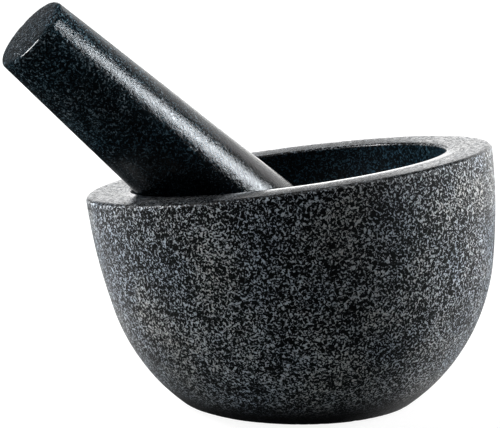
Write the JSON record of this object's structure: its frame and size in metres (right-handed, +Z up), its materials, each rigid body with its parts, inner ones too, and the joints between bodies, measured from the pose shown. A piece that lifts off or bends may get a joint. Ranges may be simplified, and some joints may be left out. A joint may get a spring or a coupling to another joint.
{
  "type": "mortar and pestle",
  "caption": "Thick-walled round stone bowl for grinding by hand, with a slanted rim and a level foot, and a tapered stone pestle that leans inside it.",
  "frame": {"origin": "centre of the mortar's level foot", "axes": "+Z up; -X towards the low side of the rim, where the pestle leans; -Y towards the front"},
  "size_m": [0.186, 0.1598, 0.1551],
  "materials": {
    "mortar_granite": "honed outside, polished on the rim, ground smooth in the hollow",
    "pestle_granite": "polished"
  },
  "bodies": {
    "mortar": {"mortar": "mortar_granite"},
    "pestle": {"pestle": "pestle_granite"}
  },
  "joints": [
    {"name": "pestle_lift", "type": "slide", "parent": "mortar", "child": "pestle", "axis": [0, 0, 1], "range_m": [0, 0.12]}
  ]
}
